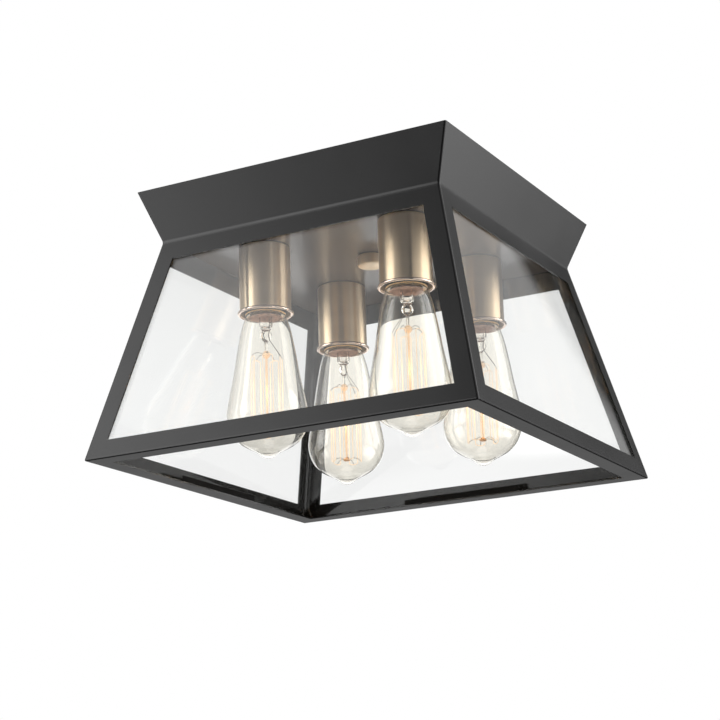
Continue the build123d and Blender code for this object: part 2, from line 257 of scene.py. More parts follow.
# %% Nodes and noise
def add(tree, kind, settings=None, **inputs):
    node = tree.nodes.new(kind)
    for key, value in (settings or {}).items():
        setattr(node, key, value)
    for key, value in inputs.items():
        node.inputs[key.replace("_", " ")].default_value = value
    return node


def finish_nodes(name):
    finish = bpy.data.materials.new(name)
    finish.use_nodes = True
    return finish, finish.node_tree.nodes["Principled BSDF"], finish.node_tree


def noise(tree, scale, stretch=(1, 1, 1), detail=2):
    place = add(tree, "ShaderNodeTexCoord")
    turn = add(tree, "ShaderNodeMapping", Scale=stretch)
    grain = add(tree, "ShaderNodeTexNoise", Scale=scale, Detail=detail)
    tree.links.new(place.outputs["Object"], turn.inputs["Vector"])
    tree.links.new(turn.outputs["Vector"], grain.inputs["Vector"])
    return grain.outputs["Fac"]


print("materials from the CAD model:", len(bpy.data.materials))

# %% From noise to colour, roughness and bumps
NOISE_LOW = 0.3
NOISE_HIGH = 0.7


def spread(tree, source, low, high):
    node = add(tree, "ShaderNodeMapRange", From_Min=NOISE_LOW, From_Max=NOISE_HIGH, To_Min=low, To_Max=high)
    tree.links.new(source, node.inputs["Value"])
    return node.outputs["Result"]


def two_tone(tree, source, dark, light):
    ramp = add(tree, "ShaderNodeValToRGB")
    ends = ramp.color_ramp.elements
    ends[0].position = NOISE_LOW
    ends[0].color = (*dark, 1)
    ends[1].position = NOISE_HIGH
    ends[1].color = (*light, 1)
    tree.links.new(source, ramp.inputs["Fac"])
    return ramp.outputs["Color"]


def bumps(tree, source, strength, depth):
    node = add(tree, "ShaderNodeBump", Strength=strength, Distance=depth)
    tree.links.new(source, node.inputs["Height"])
    return node.outputs["Normal"]


print("noise from", NOISE_LOW, "to", NOISE_HIGH, "covers a finish's range")


# %% Black paint
def surface(name, dark, light, rough, metal=0.0, cloud=18, grain=1800, stretch=(1, 1, 1), relief=0.1):
    finish, shader, tree = finish_nodes(name)
    shader.inputs["Metallic"].default_value = metal
    soft = noise(tree, cloud, stretch, 3)
    fine = noise(tree, grain, stretch, 2)
    tree.links.new(two_tone(tree, soft, dark, light), shader.inputs["Base Color"])
    tree.links.new(spread(tree, soft, *rough), shader.inputs["Roughness"])
    tree.links.new(bumps(tree, fine, relief, 0.05 * MM), shader.inputs["Normal"])
    return finish


PAINT_SHEEN = (0.21, 0.26)
black_paint = surface("black_paint", (0.0095, 0.0095, 0.0097), (0.0115, 0.0114, 0.0115), PAINT_SHEEN,
                      relief=0.05)
print(black_paint.name, len(black_paint.node_tree.nodes), "nodes")


# %% Paint the cage
def paint(piece, *finishes):
    piece.data.materials.clear()
    for finish in finishes:
        piece.data.materials.append(finish)


cage_nodes = [f"{word}_{k}" for word in ("corner_post", "top_rail", "bottom_rail") for k in (1, 2, 3, 4)]
paint(cage, black_paint)
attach(cage, "fixture")
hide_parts(*cage_nodes)
print("cage takes the place of", len(cage_nodes), "CAD nodes")

# %% [markdown]
# ## Canopy plate
# A flat plate closes the canopy at the neck and carries the four cups. It is a square of the same sheet
# with five pipe holes. The holes could be built into the square point by point, but it is surer to drill
# them: a cylinder is taken away by a boolean at each place. The plate looks lighter than the walls, so its
# paint is mixed far lighter and warmer: painted light that stands in for the warm glow of the lit bulbs on
# it.

# %% Canopy plate
LAMP_REACH = 63 * MM
LAMP_SIGNS = {1: (1, -1), 2: (1, 1), 3: (-1, 1), 4: (-1, -1)}
LAMP_PLACES = {number: (x * LAMP_REACH, y * LAMP_REACH) for number, (x, y) in LAMP_SIGNS.items()}
PIPE_HOLE = 5.25
DRILL_LENGTH = 10 * MM
plate_side = NECK_SIDE - 2 * SHEET
put_down()
bpy.ops.mesh.primitive_cube_add(size=1, location=(0, 0, Z_NECK + SHEET / 2),
                                scale=(plate_side, plate_side, SHEET))
plate = bpy.context.object
bpy.ops.object.transform_apply(location=True, rotation=True, scale=True)
for x, y in [(0, 0)] + list(LAMP_PLACES.values()):
    put_down()
    bpy.ops.mesh.primitive_cylinder_add(vertices=48, radius=PIPE_HOLE * MM, depth=DRILL_LENGTH,
                                        location=(x, y, Z_NECK))
    drill = bpy.context.object
    apply_modifier(plate, "BOOLEAN", operation="DIFFERENCE", object=drill, solver="EXACT")
    take(drill)
    bpy.ops.object.delete()
print("drilled plate", count_faces(plate), "faces")


# %% Join walls and plate to the canopy
def join(name, first, *rest):
    take(first)
    for piece in rest:
        piece.select_set(True)
    bpy.ops.object.join()
    first.name = name
    return first


# Painted light: the plate's paint is far lighter and warmer than the walls' black, for the glow of the lit
# bulbs on it.
plate_painted_glow = surface("plate_painted_glow", (0.135, 0.123, 0.119), (0.155, 0.141, 0.136), PAINT_SHEEN, relief=0.05)
paint(walls, black_paint)
paint(plate, plate_painted_glow)
canopy = join("canopy", walls, plate)
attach(canopy, "fixture")
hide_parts("canopy_pan")
print("canopy", count_faces(canopy), "faces")

# %% [markdown]
# ## Brass
# The cups are brass, turned and lightly brushed, with an aged tone. Their fine lines run round them, so a
# light stretches to a long upright streak. Scratches could be modelled or bumped, but they would be
# thinner than a pixel. The shader's own anisotropy does the same, with its tangent laid round the upright
# axis. The rolled bead at the mouth is polished, so it has a brighter brass of its own.

# %% Antique brass and bright brass
antique_brass = surface("antique_brass", (0.82, 0.632, 0.424), (0.92, 0.725, 0.50), (0.31, 0.37), metal=1.0,
                        cloud=9, grain=1500, stretch=(0.4, 0.4, 6), relief=0.05)
tree = antique_brass.node_tree
brushed = tree.nodes["Principled BSDF"].inputs
round_axis = add(tree, "ShaderNodeTangent", {"direction_type": "RADIAL", "axis": "Z"})
tree.links.new(round_axis.outputs["Tangent"], brushed["Tangent"])
brushed["Anisotropic"].default_value = 0.92
brushed["Anisotropic Rotation"].default_value = 0.25
bright_brass = surface("bright_brass", (0.86, 0.66, 0.52), (0.95, 0.77, 0.64), (0.12, 0.2), metal=1.0,
                       cloud=40)
print(antique_brass.name, "and", bright_brass.name)

# %% [markdown]
# ## Lamp cups
# Each cup is spun brass: closed at the top with a small round, and its mouth rolled outwards to a bead. A
# cylinder with its edges beveled would come close, but its bead would have to be joined on. Drawn as one
# line, outside down, round the bead and inside up, and turned about the axis, the wall has its thickness
# and the bead is part of it. Such a line is written in millimetres, as radius and height, and made metres
# just before it is drawn.


# %% Drawing a line and turning it
def draw_line(name, points):
    put_down()
    bpy.ops.mesh.primitive_plane_add(size=MM, location=points[0])
    line = bpy.context.object
    line.name = name
    bpy.ops.object.mode_set(mode="EDIT")
    bpy.ops.mesh.select_mode(type="VERT")
    bpy.ops.mesh.merge(type="CENTER")
    for here, there in zip(points, points[1:]):
        step = [b - a for a, b in zip(here, there)]
        bpy.ops.mesh.extrude_region_move(TRANSFORM_OT_translate={"value": step})
    bpy.ops.object.mode_set(mode="OBJECT")
    bpy.ops.object.transform_apply(location=True, rotation=True, scale=True)
    return line


def turned(name, outline, around=96, smooth_to=35):
    piece = draw_line(name, [(radius, 0, z) for radius, z in outline])
    apply_modifier(piece, "SCREW", axis="Z", angle=math.tau, steps=around, render_steps=around,
                   use_merge_vertices=True, merge_threshold=MERGE)
    clean(piece, smooth_to)
    return piece


print("turned ends are merged within", MERGE, "metres")


# %% Arcs
def arc(middle, radius, start, end, steps=10):
    turn = math.radians(end - start) / steps
    return [
        (middle[0] + radius * math.cos(math.radians(start) + k * turn),
         middle[1] + radius * math.sin(math.radians(start) + k * turn))
        for k in range(steps + 1)
    ]


def in_metres(outline):
    return [(radius * MM, z * MM) for radius, z in outline]


print("a quarter round in six steps has", len(arc((0, 0), 1, 90, 0, 6)), "points")

# %% One cup
CUP_TOP = Z_NECK / MM
CUP_OUTSIDE = 20.5
CUP_WALL = 0.8
CUP_ROUND = 1.5
BEAD_MIDDLE = (21.0, -95.2)
BEAD_ROUND = 1.3
BEAD_START = 112.6
BEAD_TOP = -94.1
cup_inside = CUP_OUTSIDE - CUP_WALL
cup_ceiling = CUP_TOP - CUP_WALL
round_middle = (CUP_OUTSIDE - CUP_ROUND, CUP_TOP - CUP_ROUND)
cup_line = [(PIPE_HOLE, CUP_TOP)] + arc(round_middle, CUP_ROUND, 90, 0, 6)
cup_line += [(CUP_OUTSIDE, -60), (CUP_OUTSIDE, -80)] + arc(BEAD_MIDDLE, BEAD_ROUND, BEAD_START, -180, 18)
cup_line += [(cup_inside, -80), (cup_inside, -60), (cup_inside, cup_ceiling)]
cup_line += [(PIPE_HOLE, cup_ceiling), (PIPE_HOLE, CUP_TOP)]
cup = turned("lamp_cup", in_metres(cup_line), around=128)
paint(cup, antique_brass, bright_brass)


def on_bead(middle):
    return middle.z < BEAD_TOP * MM and math.hypot(middle.x, middle.y) > (cup_inside + 0.1) * MM


pick(cup, "FACE", on_bead)
cup.active_material_index = 1
bpy.ops.object.material_slot_assign()
print("cup", count_faces(cup), "faces")

# %% [markdown]
# The real light has four equal lamps, so each piece of a lamp is modelled once on the upright axis and
# then copied to its four places. An array or linked copies would be lighter, but every copy rides on a
# body of its own and needs a mesh of its own. The lamps are turned as their filaments stand in the
# photograph.

# %% Four cups
LAMP_TURNS = {1: 216, 2: 36, 3: 72, 4: 36}


def move(piece, place, turn=0):
    take(piece)
    piece.rotation_euler.z = math.radians(turn)
    bpy.ops.transform.translate(value=place)
    bpy.ops.object.transform_apply(location=True, rotation=True, scale=True)


def copy_of(piece, name):
    take(piece)
    bpy.ops.object.duplicate(linked=False)
    twin = bpy.context.object
    twin.name = name
    return twin


def one_per_lamp(piece, word, node, body):
    for number, (x, y) in LAMP_PLACES.items():
        twin = copy_of(piece, f"{word}_{number}")
        move(twin, (x, y, 0), LAMP_TURNS[number])
        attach(twin, body.format(number))
        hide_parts(f"{node}_{number}")
    count = len(piece.data.polygons)
    take(piece)
    bpy.ops.object.delete()
    print(word, count, "faces, four times")


one_per_lamp(cup, "lamp_cup", "socket_cup", "fixture")

# %% [markdown]
# ## Clear glass
# Panes, bulbs and the stems inside them are clear glass, a little wavy where it was blown. A see-through
# mix would show no bending or mirroring, so the shader's own transmission is used, with no roughness.
# Clear glass would cast a dark shadow, because a shadow ray is not bent, so shadow rays pass through a
# plain transparent shader instead. The bulbs' glass is tinted slightly darker towards the seal at the foot.


# %% Glass of panes and stems
def clear_glass(name, tint, wave):
    finish, shader, tree = finish_nodes(name)
    shader.inputs["Base Color"].default_value = (*tint, 1)
    shader.inputs["Roughness"].default_value = 0.0
    shader.inputs["IOR"].default_value = 1.5
    shader.inputs["Transmission Weight"].default_value = 1.0
    tree.links.new(bumps(tree, noise(tree, 30, detail=1), wave, 0.2 * MM), shader.inputs["Normal"])
    path = add(tree, "ShaderNodeLightPath")
    through = add(tree, "ShaderNodeBsdfTransparent", Color=(*tint, 1))
    mix = add(tree, "ShaderNodeMixShader")
    tree.links.new(path.outputs["Is Shadow Ray"], mix.inputs["Fac"])
    tree.links.new(shader.outputs["BSDF"], mix.inputs[1])
    tree.links.new(through.outputs["BSDF"], mix.inputs[2])
    tree.links.new(mix.outputs["Shader"], tree.nodes["Material Output"].inputs["Surface"])
    return finish


pane_glass = clear_glass("pane_glass", (0.985, 0.99, 0.985), 0.01)
stem_glass = clear_glass("stem_glass", (1.0, 0.985, 0.97), 0.04)
print("glass:", pane_glass.name, stem_glass.name)


# %% Tinted glass of the bulbs
def by_height(tree, top, low, first, last):
    place = add(tree, "ShaderNodeTexCoord")
    split = add(tree, "ShaderNodeSeparateXYZ")
    spot = add(tree, "ShaderNodeMapRange", From_Min=top, From_Max=low, To_Min=NOISE_LOW, To_Max=NOISE_HIGH)
    tree.links.new(place.outputs["Object"], split.inputs["Vector"])
    tree.links.new(split.outputs["Z"], spot.inputs["Value"])
    return two_tone(tree, spot.outputs["Result"], first, last)


BULB_TINT = (1.0, 0.980, 0.932)
FOOT_TINT = (0.915, 0.900, 0.85)
TINT_START = -182 * MM
TINT_END = -211 * MM
bulb_glass = clear_glass("bulb_glass", BULB_TINT, 0.02)
tree = bulb_glass.node_tree
foot_tint = by_height(tree, TINT_START, TINT_END, BULB_TINT, FOOT_TINT)
tree.links.new(foot_tint, tree.nodes["Principled BSDF"].inputs["Base Color"])
print(bulb_glass.name, len(tree.nodes), "nodes")

# %% [markdown]
# ## Bulbs
# The bulb is blown glass: a narrow neck in the screw cap, a long cone, a round bottom, and the solid nub
# where it was sealed. A sphere could be pulled into this shape, but its poles and rings would not lie
# where the curve is tight. A smooth curve is laid through a few measured points, for the outside and for
# the inside, about half a millimetre apart. Both are turned as one line, so the glass is a closed shell
# that bends light as the real one does.


# %% Curves, measured down from the cup's mouth
def curve_through(points, steps=5):
    ends = [points[0]] + list(points) + [points[-1]]
    drawn = []
    for before, here, there, after in zip(ends, ends[1:], ends[2:], ends[3:]):
        for step in range(steps):
            t = step / steps
            spot = []
            for a, b, c, d in zip(before, here, there, after):
                square = 2 * a - 5 * b + 4 * c - d
                cube = 3 * b - a - 3 * c + d
                spot.append(0.5 * (2 * b + (c - a) * t + square * t * t + cube * t ** 3))
            drawn.append(tuple(spot))
    return drawn + [tuple(points[-1])]


LAMP_START = -98 * MM


def lamp_line(points):
    return [(radius * MM, LAMP_START - depth * MM) for depth, radius in points]


print("a curve through three points has", len(curve_through([(0, 0), (1, 1), (2, 0)])), "points")

# %% Bulb glass
GLASS_WALL = 0.5
cone = [(0, 16.4), (7, 18.6), (15, 20.6), (30, 23.4), (45, 25.8), (58, 28.3), (68, 30.3), (75, 31.5),
        (81, 32.0), (87, 31.2)]
foot_outside = [(92.5, 29.4), (98, 26.2), (102.5, 21.6), (106.2, 15.2), (108.6, 10.5), (110.6, 7.4),
                (112.6, 4.9), (113.9, 2.6), (114.4, 0)]
foot_inside = [(92.4, 28.8), (97.7, 25.7), (102.1, 21.2), (105.7, 15.0), (107.9, 10.2), (109.8, 7.0),
               (111.4, 4.4), (112.4, 2.2), (112.8, 0)]
neck_outside = [(-10, 12.4), (-2.2, 12.4), (-1.8, 13.0), (-1.4, 15.2), (-0.8, 16.1)]
neck_inside = [(-10, 11.9), (-1.8, 11.9), (-1.2, 12.6), (-0.8, 14.8), (-0.4, 15.6)]
outside = neck_outside + curve_through(cone + foot_outside, 4)
cone_inside = [(depth, radius - GLASS_WALL) for depth, radius in cone]
inside = neck_inside + curve_through(cone_inside + foot_inside, 4)
bulb = turned("bulb", lamp_line(list(reversed(outside)) + inside), around=96, smooth_to=50)
paint(bulb, bulb_glass)
one_per_lamp(bulb, "bulb_envelope", "bulb_glass", "bulb_{}")

# %% [markdown]
# ## Glass stems
# A glass stem stands in each bulb's neck: a flared foot, a hollow shaft, the press that seals the lead
# wires, and a thin rod with an amber bead that ends in a small copper hub. All are round, so they are
# turned lines. The press is round glass squeezed flat between two irons on the real lamp. It could be
# modelled as a flat block, but its rings are squeezed here too, most in the middle, and it runs into the
# shaft without a seam. Rod and bead have a painted glow: a little light of their own that stands in for
# the lit filament shining into them.

# %% Shaft with its flat press
STEM_END = 22.0
PRESS = (9.5, 20.5)
PRESS_WIDER = 0.15
PRESS_FLATTER = 0.42
shaft_line = curve_through(
    [(-8.2, 10.8), (-7, 9.2), (-4, 6.4), (-1, 5.2), (3, 5.2), (7.5, 5.4), (9.4, 4.7), (11.5, 3.0),
     (13.2, 3.7), (15, 4.1), (17, 3.9), (18.6, 3.2), (20.5, 1.6), (STEM_END, 1.5)], 3)
hollow_line = curve_through(
    [(-8.2, 9.9), (-7, 8.3), (-4, 5.5), (-1, 4.3), (3, 4.3), (7.0, 4.4), (8.6, 3.2), (9.6, 0)], 3)
stem_line = list(reversed(hollow_line)) + shaft_line + [(STEM_END, 0)]
stem = turned("stem", lamp_line(stem_line), around=40, smooth_to=50)
for level in sorted({round(point.co.z, 6) for point in stem.data.vertices}):
    along = ((LAMP_START - level) / MM - PRESS[0]) / (PRESS[1] - PRESS[0])
    if 0 < along < 1:
        squeeze = math.sin(math.pi * along) ** 2
        pick(stem, "VERT", lambda point: abs(point.z - level) < 0.01 * MM)
        bpy.ops.transform.resize(value=(1 + PRESS_WIDER * squeeze, 1 - PRESS_FLATTER * squeeze, 1),
                                 center_override=(0, 0, level))
clean(stem, smooth_to=50)
print("shaft and press", count_faces(stem), "faces")


# %% Amber glass, copper and glow
def glowing(name, dark, light, strength, cover=1.0):
    finish, shader, tree = finish_nodes(name)
    shader.inputs["Base Color"].default_value = (0.45, 0.28, 0.16, 1)
    shader.inputs["Roughness"].default_value = 0.4
    shader.inputs["Alpha"].default_value = cover
    shader.inputs["Emission Strength"].default_value = strength
    tree.links.new(two_tone(tree, noise(tree, 400), dark, light), shader.inputs["Emission Color"])
    return finish


# Painted glow: rod and bead are no lamps; their light stands in for the lit filament shining into them.
amber_glass_painted_glow = glowing("amber_glass_painted_glow", (1.0, 0.63, 0.31), (1.0, 0.73, 0.43), 0.55, cover=0.45)
copper = surface("copper", (0.80, 0.42, 0.20), (0.92, 0.55, 0.30), (0.30, 0.40), metal=0.5, cloud=200)
print("finishes:", amber_glass_painted_glow.name, copper.name)

# %% Neck, bead, rod and hub
BEAD_DEPTH = 31.0
BEAD_RADIUS = 3.1
NECK_RADIUS = 1.3
HUB_TOP = 91.2
ROD_END = 92.0
neck_top = STEM_END - 0.5
neck_end = BEAD_DEPTH - 2
neck_line = [(neck_top, 0), (neck_top, NECK_RADIUS), (neck_end, NECK_RADIUS), (neck_end, 0)]
bead_line = [(BEAD_DEPTH - depth, radius) for radius, depth in arc((0, 0), BEAD_RADIUS, 90, -90, 16)]
rod_line = [(BEAD_DEPTH, 0), (BEAD_DEPTH, 1.0), (60, 0.9), (ROD_END, 0.8), (ROD_END + 0.4, 0)]
hub_side = curve_through([(HUB_TOP, 1.0), (91.8, 1.6), (92.6, 2.5), (93.4, 2.9), (94.0, 2.3)], 3)
neck = turned("neck", lamp_line(neck_line), around=24)
bead = turned("bead", lamp_line(bead_line), around=32, smooth_to=60)
rod = turned("rod", lamp_line(rod_line), around=24, smooth_to=50)
hub = turned("hub", lamp_line([(HUB_TOP, 0)] + hub_side + [(94.2, 0)]), around=40, smooth_to=50)
for piece in (stem, neck):
    paint(piece, stem_glass)
for piece in (bead, rod):
    paint(piece, amber_glass_painted_glow)
paint(hub, copper)
stem = join("stem", stem, neck, bead, rod, hub)
one_per_lamp(stem, "stem", "bulb_stem", "bulb_{}")

# %% [markdown]
# ## Filaments
# The filament is one long thin wire that runs down and up between two rings of hooks. Ten separate wires
# would look the same from afar, but the turns at the hooks would gape. It is drawn as one zigzag line,
# with a short round link at each turn, and the line is given the thickness of a wire by way of a curve's
# bevel. Its glow is soft, so that the strands stay visible against the bright glass.

# %% Zigzag
STRANDS = 10
CAGE_RADIUS = 12.5
CAGE_TOP = 33.5
CAGE_LOW = 95.0
LINK_HEIGHT = 0.9
LINK_BOW = 0.3
strand_step = 360 / STRANDS


def at(radius, degrees, depth):
    angle = math.radians(degrees)
    return (radius * MM * math.cos(angle), radius * MM * math.sin(angle), LAMP_START - depth * MM)


zigzag = []
for strand in range(STRANDS):
    heading = strand_step * strand
    down = strand % 2 == 0
    ends = [CAGE_TOP + LINK_HEIGHT, CAGE_LOW - LINK_HEIGHT]
    if not down:
        ends.reverse()
    for depth in (ends[0], (CAGE_TOP + CAGE_LOW) / 2, ends[1]):
        zigzag.append(at(CAGE_RADIUS, heading, depth))
    if strand < STRANDS - 1:
        depth = CAGE_LOW if down else CAGE_TOP
        bow = LINK_BOW if down else -LINK_BOW
        zigzag.append(at(CAGE_RADIUS - 0.2, heading + strand_step / 4, depth))
        zigzag.append(at(CAGE_RADIUS - 0.6, heading + strand_step / 2, depth + bow))
        zigzag.append(at(CAGE_RADIUS - 0.2, heading + strand_step * 3 / 4, depth))
print("zigzag of", STRANDS, "strands,", len(zigzag), "points")


# %% Filament wire
def wires(name, lines, radius, sides=3):
    drawn = [draw_line(f"{name}_{k}", line) for k, line in enumerate(lines)]
    take(drawn[0])
    for line in drawn[1:]:
        line.select_set(True)
    if len(drawn) > 1:
        bpy.ops.object.join()
    bpy.ops.object.convert(target="CURVE")
    piece = bpy.context.object
    piece.data.bevel_depth = radius
    piece.data.bevel_resolution = sides
    piece.data.use_fill_caps = True
    bpy.ops.object.convert(target="MESH")
    piece = bpy.context.object
    piece.name = name
    clean(piece, smooth_to=60)
    return piece


FILAMENT_RADIUS = 0.26 * MM
filament = wires("filament", [zigzag], FILAMENT_RADIUS)
glow = glowing("filament", (1.0, 0.75, 0.50), (1.0, 0.83, 0.61), 0.85)
paint(filament, glow)
print("filament", count_faces(filament), "faces")

# %% [markdown]
# Hooks of thin steel wire hold the filament's turns: four from the amber bead, five from the hub. Two lead
# wires come down inside the stem, leave it at the press and run out to the filament's two ends. A bent
# cylinder each would need many cuts. They are smooth curves through four points, thickened in the same way
# as the filament.

# %% Hooks and lead wires
HOOK_END = 12.2
HOOK_RADIUS = 0.2 * MM
hooks = []
for strand in range(1, STRANDS - 1, 2):
    heading = strand_step * (strand + 0.5)
    reach = [(2.6, BEAD_DEPTH), (7, BEAD_DEPTH - 1.2), (11, CAGE_TOP - 2), (HOOK_END, CAGE_TOP)]
    hooks.append(curve_through([at(radius, heading, depth) for radius, depth in reach], 3))
for strand in range(0, STRANDS, 2):
    heading = strand_step * (strand + 0.5)
    reach = [(2.3, 92.8), (6, 91.8), (10, 93.2), (HOOK_END, CAGE_LOW + 0.4)]
    hooks.append(curve_through([at(radius, heading, depth) for radius, depth in reach], 3))
for heading in (0, strand_step * (STRANDS - 1)):
    in_stem = [at(3.4, heading, 1), at(2.6, heading, 10)]
    reach = [(2.0, 16), (3.2, 19.5), (10.8, 31), (CAGE_RADIUS, CAGE_TOP + LINK_HEIGHT)]
    hooks.append(in_stem + curve_through([at(radius, heading, depth) for radius, depth in reach], 3))
print("hooks and leads", len(hooks))
hook_wires = wires("hooks", hooks, HOOK_RADIUS)
steel_wire = surface("steel_wire", (0.20, 0.16, 0.13), (0.34, 0.28, 0.23), (0.30, 0.42), metal=1.0,
                     cloud=300)
paint(hook_wires, steel_wire)
filament = join("filament", filament, hook_wires)
one_per_lamp(filament, "filament", "bulb_filament", "bulb_{}")

# %% [markdown]
# ## Screw caps
# The cap is thin brass with a rolled thread, seven threads to the inch, cemented on the glass neck. A
# thread could be faked with rings or bumps, but rings do not climb, and a lamp that is screwed out shows
# it. One wave of the thread is drawn and screwed up the axis, its ends are cut level, a skirt is pulled
# down and a crown up, and Solidify makes it sheet.

# %% Rolled thread
PITCH = 25.4 / 7
THREAD_RADIUS = 12.62
THREAD_DEPTH = 0.46
WAVE_STEPS = 8
CAP_LOW = -96 * MM
CAP_HIGH = -74 * MM
SKIRT = 1.5 * MM
SHOULDER = 2.0 * MM
CROWN = 1.5 * MM
thread_low = CAP_LOW + SKIRT
thread_high = CAP_HIGH - SHOULDER - CROWN
wave = []
for k in range(WAVE_STEPS + 1):
    radius = THREAD_RADIUS - THREAD_DEPTH * math.cos(math.tau * k / WAVE_STEPS)
    wave.append((radius * MM, 0, CAP_LOW - PITCH * MM + PITCH * k / WAVE_STEPS * MM))
cap = draw_line("cap", wave)
apply_modifier(cap, "SCREW", axis="Z", angle=math.tau, screw_offset=PITCH * MM, iterations=6,
               steps=48, render_steps=48)
clean(cap, smooth_to=60)
for level, way in ((thread_low, 1), (thread_high, -1)):
    pick(cap, "VERT", lambda point: True)
    bpy.ops.mesh.bisect(plane_co=(0, 0, level), plane_no=(0, 0, way), clear_inner=True)
print("thread", count_faces(cap), "faces")


# %% Skirt, shoulder and crown
SHOULDER_NARROWS = 0.93
CROWN_NARROWS = 0.66
CAP_SHEET = 0.3 * MM


def pull_edge(rise, narrow, level):
    bpy.ops.mesh.extrude_region_move(TRANSFORM_OT_translate={"value": (0, 0, rise)})
    bpy.ops.transform.resize(value=(narrow, narrow, 1), center_override=(0, 0, level))


pick(cap, "EDGE", lambda a, b: near(a.z, thread_low) and near(b.z, thread_low))
pull_edge(-SKIRT, 1, CAP_LOW)
pick(cap, "EDGE", lambda a, b: near(a.z, thread_high) and near(b.z, thread_high))
pull_edge(SHOULDER, SHOULDER_NARROWS, CAP_HIGH - CROWN)
pull_edge(CROWN, CROWN_NARROWS, CAP_HIGH)
clean(cap, smooth_to=60)
apply_modifier(cap, "SOLIDIFY", thickness=CAP_SHEET, offset=-1)
clean(cap, smooth_to=60)
print("cap", count_faces(cap), "faces")

# %% [markdown]
# Through the shoulder of the glass, the photograph shows a bright ring in the cup's mouth and a rough
# brown disc of cement below the cap. A flat disc would do from afar, but the lamp can be screwed out, so
# both are turned lines with a rounded edge. The cement's colour is grown from coarse noise, and its bumps
# are strong, because it is crumbly.

# %% Bright ring and cement
ring_line = curve_through(
    [(-2.2, 12.9), (-2.6, 14.2), (-2.5, 15.6), (-2.0, 16.2), (-1.7, 15.7), (-1.9, 14.2), (-2.0, 13.2)], 3)
ring = turned("ring", lamp_line(ring_line + [ring_line[0]]), around=64, smooth_to=60)
collar_edge = curve_through(
    [(-0.4, 10.0), (0.0, 12.6), (0.5, 13.1), (1.0, 12.9), (1.2, 11.8), (0.9, 8.5), (0.7, 5.6)], 3)
collar_line = [(-1.6, 0), (-1.6, 4.0), (-0.4, 5.6)] + collar_edge + [(-0.9, 4.0), (-0.9, 0)]
collar = turned("collar", lamp_line(collar_line), around=64, smooth_to=60)
lamp_brass = surface("lamp_brass", (0.76, 0.57, 0.30), (0.86, 0.67, 0.38), (0.30, 0.40), metal=0.8,
                     cloud=60)
ring_brass = surface("ring_brass", (0.80, 0.56, 0.28), (0.90, 0.66, 0.36), (0.38, 0.48), metal=0.35,
                     cloud=60)
cement = surface("cement", (0.17, 0.112, 0.098), (0.47, 0.325, 0.29), (0.75, 0.9), cloud=420, grain=1400,
                 relief=0.5)
for piece, finish in ((cap, lamp_brass), (ring, ring_brass), (collar, cement)):
    paint(piece, finish)
cap = join("cap", cap, ring, collar)
one_per_lamp(cap, "cap", "bulb_cap", "bulb_{}")

# %% [markdown]
# ## Centre contacts
# On top of each cap, a brass button sits on a ring of dark insulator and touches the lampholder's spring.
# Two beveled cylinders would come close. Two turned lines give the ring its slope and the button its
# rounded edge in one step.

# %% Centre contact
CAP_TOP = CAP_HIGH / MM
BUTTON_LOW = -71.3
insulator_line = [(0, CAP_TOP), (8.4, CAP_TOP)] + arc((6.2, -73.4), 2.0, -10, 80, 5)
insulator_line += [(4.8, BUTTON_LOW), (0, BUTTON_LOW)]
button_line = [(0, BUTTON_LOW), (4.6, BUTTON_LOW)] + arc((4.1, -71.0), 0.5, -20, 75, 4)
button_line += [(2.0, -70.43), (0, -70.4)]
insulator_ring = turned("insulator_ring", in_metres(insulator_line), around=48)
button = turned("button", in_metres(button_line), around=40)
insulator = surface("insulator", (0.030, 0.021, 0.016), (0.055, 0.038, 0.028), (0.40, 0.52), cloud=90)
paint(insulator_ring, insulator)
paint(button, lamp_brass)
contact = join("contact", insulator_ring, button)
one_per_lamp(contact, "contact", "bulb_contact", "bulb_{}_carrier")

# %% [markdown]
# ## Finial
# A plain round brass nut under the plate holds the canopy up on the centre pipe. A cylinder with a bevel
# and a drilled hole would do. A turned line gives it all in one step: a small round at the top, a softer
# one at the lower edge, a shallow dish in the face, and a blind bore.

# %% Finial
NUT_TOP = -41.3
NUT_FACE = -49.8
NUT_RADIUS = 11.0
NUT_BORE = 5.1
BORE_END = -48.2
TOP_ROUND = 0.4
LOW_ROUND = 1.0
top_middle = (NUT_RADIUS - TOP_ROUND, NUT_TOP - TOP_ROUND)
low_middle = (NUT_RADIUS - LOW_ROUND, NUT_FACE + LOW_ROUND)
finial_line = [(NUT_BORE, NUT_TOP)] + arc(top_middle, TOP_ROUND, 90, 0, 4) + [(NUT_RADIUS, -45.5)]
finial_line += arc(low_middle, LOW_ROUND, 0, -90, 6)
finial_line += [(6.0, NUT_FACE + 0.08), (0, NUT_FACE + 0.18)]
finial_line += [(0, BORE_END), (NUT_BORE, BORE_END), (NUT_BORE, NUT_TOP)]
finial = turned("finial_nut", in_metres(finial_line), around=96)
paint(finial, antique_brass)
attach(finial, "finial")
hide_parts("finial")
print("finial", count_faces(finial), "faces")

# %% [markdown]
# ## Pieces kept from the CAD model
# Panes, keepers, clips, crossbar, pipes, nuts, lampholder insides and wiring already have the right shape.
# They could be modelled again, but nothing would be gained, so they keep their CAD meshes and only get a
# finish. The keepers are the dark strips on the bottom flange, as dull as felt, so they have hardly any
# sheen.

